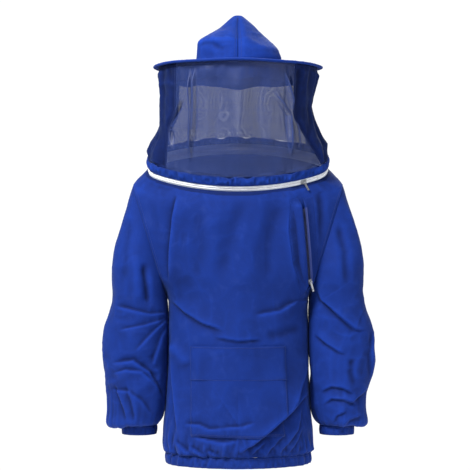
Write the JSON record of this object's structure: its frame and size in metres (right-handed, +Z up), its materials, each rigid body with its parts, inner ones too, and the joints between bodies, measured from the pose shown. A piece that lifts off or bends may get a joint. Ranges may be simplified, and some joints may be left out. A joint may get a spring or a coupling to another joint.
{
  "type": "beekeeping jacket",
  "caption": "Blue pull-on protective jacket with elastic waist and cuffs, large front pocket, and a wire-brimmed hat with a net veil that zips to the neckline.",
  "frame": {"origin": "on the centre line at shoulder level, straight above the front neck zip's height line", "axes": "+X towards the wearer's left, -Y out of the chest, +Z up"},
  "size_m": [0.654, 0.416, 1.094],
  "materials": {
    "jacket_cloth": "woven cotton twill, royal blue",
    "hood_cloth": "woven cotton, royal blue",
    "net": "sheer black netting",
    "zip_tape": "white woven tape",
    "zip_teeth": "moulded",
    "pull_metal": "nickel plated",
    "elastic": "ribbed elastic",
    "hoop_wire": "spring wire",
    "sweatband": "cotton twill"
  },
  "bodies": {
    "jacket": {"front_panel": "jacket_cloth", "back_panel": "jacket_cloth", "left_sleeve_head": "jacket_cloth", "right_sleeve_head": "jacket_cloth", "pocket": "jacket_cloth", "pocket_band": "jacket_cloth", "waist_casing": "jacket_cloth", "waist_elastic": "elastic", "lower_zip_tape": "zip_tape", "lower_zip_teeth": "zip_teeth", "neck_zip_stop": "pull_metal", "side_zip_placket": "jacket_cloth", "side_zip_tapes": "zip_tape", "side_zip_teeth": "zip_teeth"},
    "hood": {"crown_panel_front_left": "hood_cloth", "crown_panel_front_right": "hood_cloth", "crown_panel_rear_left": "hood_cloth", "crown_panel_rear_right": "hood_cloth", "brim_top_ply": "hood_cloth", "brim_under_ply": "hood_cloth", "brim_binding": "hood_cloth", "hoop_wire": "hoop_wire", "hoop_ferrule": "hoop_wire", "sweatband": "sweatband", "hat_elastic": "elastic", "front_valance": "hood_cloth", "rear_valance": "hood_cloth", "front_net": "net", "rear_net": "net", "left_veil_panel": "hood_cloth", "right_veil_panel": "hood_cloth", "neck_band": "hood_cloth", "upper_zip_tape": "zip_tape", "upper_zip_teeth": "zip_teeth"},
    "left_sleeve": {"left_sleeve": "jacket_cloth", "left_cuff_casing": "jacket_cloth", "left_cuff_elastic": "elastic"},
    "right_sleeve": {"right_sleeve": "jacket_cloth", "right_cuff_casing": "jacket_cloth", "right_cuff_elastic": "elastic"},
    "neck_slider": {"neck_slider": "pull_metal", "neck_pull_pin": "pull_metal"},
    "neck_pull": {"neck_pull": "pull_metal"},
    "side_slider": {"side_slider": "pull_metal", "side_pull_pin": "pull_metal"},
    "side_pull": {"side_pull": "pull_metal"}
  },
  "joints": [
    {"name": "hood_tip", "type": "hinge", "parent": "jacket", "child": "hood", "pos_m": [0, 0.11873, 0.10904], "axis": [-1, 0, 0], "range_deg": [0, 110]},
    {"name": "left_sleeve_raise", "type": "hinge", "parent": "jacket", "child": "left_sleeve", "pos_m": [0.3002, 0, -0.14022], "axis": [0, -1, 0], "range_deg": [0, 40]},
    {"name": "right_sleeve_raise", "type": "hinge", "parent": "jacket", "child": "right_sleeve", "pos_m": [-0.3002, 0, -0.14022], "axis": [0, 1, 0], "range_deg": [0, 40]},
    {"name": "neck_zip", "type": "hinge", "parent": "jacket", "child": "neck_slider", "pos_m": [0, 0.15623, 0.12652], "axis": [0, -0.4226, 0.9063], "range_deg": [-69.5, 6]},
    {"name": "neck_pull_swing", "type": "hinge", "parent": "neck_slider", "child": "neck_pull", "pos_m": [0.15888, -0.07875, 0.01695], "axis": [-0.8526, -0.4735, -0.2208], "range_deg": [0, 110]},
    {"name": "side_zip", "type": "hinge", "parent": "jacket", "child": "side_slider", "pos_m": [0.14494, 0.22858, -0.0694], "axis": [-0.9944, -0.0408, -0.0973], "range_deg": [0, 26]},
    {"name": "side_pull_swing", "type": "hinge", "parent": "side_slider", "child": "side_pull", "pos_m": [0.17491, -0.07425, -0.2232], "axis": [-0.8006, -0.5054, -0.3219], "range_deg": [-14, 120]}
  ]
}
